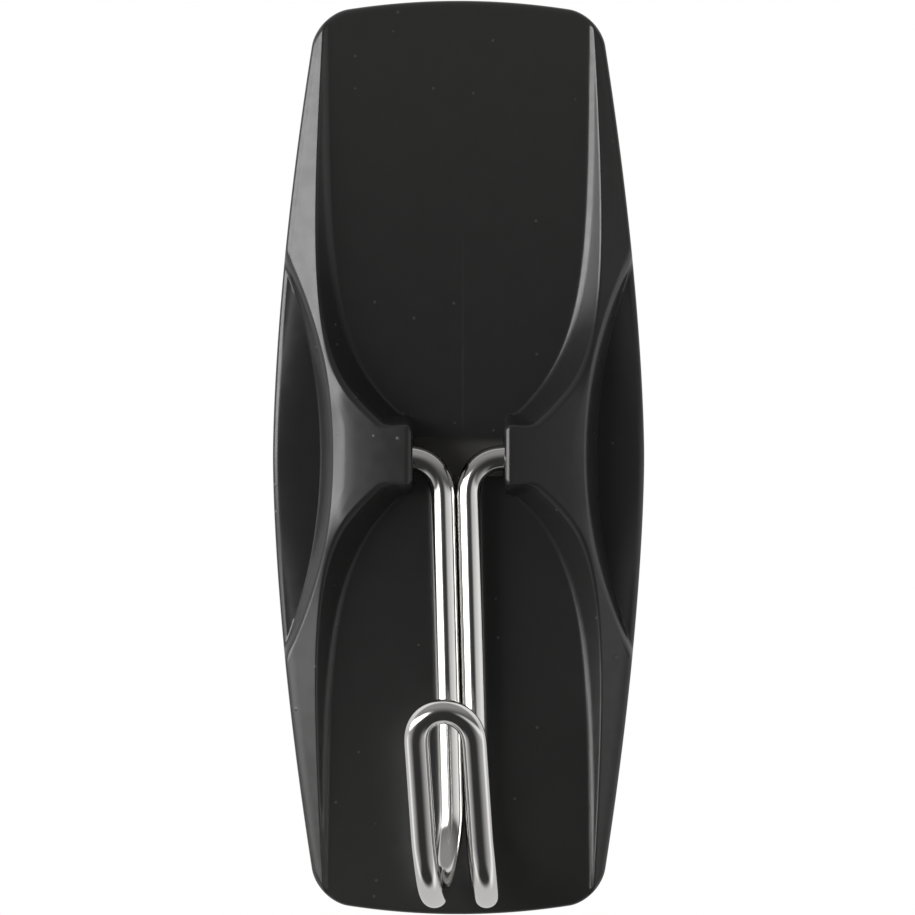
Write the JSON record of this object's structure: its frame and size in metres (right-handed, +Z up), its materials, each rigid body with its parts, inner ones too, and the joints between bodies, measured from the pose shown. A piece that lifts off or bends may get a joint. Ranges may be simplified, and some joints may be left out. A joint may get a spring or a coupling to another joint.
{
  "type": "adhesive wire wall hook",
  "caption": "Small stick-on wall hook: a slim glossy black base with pinched ridges and a swinging bent-wire hook in chrome.",
  "frame": {"origin": "middle of the adhesive face that sticks to the wall, level with the wire's pivot", "axes": "+Z up the wall along the base, +Y into the wall, -Y out towards the viewer, +X to the viewer's right"},
  "size_m": [0.017, 0.012, 0.0418],
  "materials": {
    "base_plastic": "moulded black plastic with a soft gloss",
    "hook_wire": "bright chrome-plated steel wire",
    "adhesive": "clear tacky adhesive film, slightly yellow",
    "foam": "closed-cell grey foam"
  },
  "bodies": {
    "base": {"base_moulding": "base_plastic", "strip_base_adhesive": "adhesive", "strip_foam_core": "foam", "strip_wall_adhesive": "adhesive"},
    "hook": {"wire_hook": "hook_wire"}
  },
  "joints": [
    {"name": "hook_swing", "type": "hinge", "parent": "base", "child": "hook", "pos_m": [0, -0.0036, 0], "axis": [-1, 0, 0], "range_deg": [0, 145]}
  ]
}
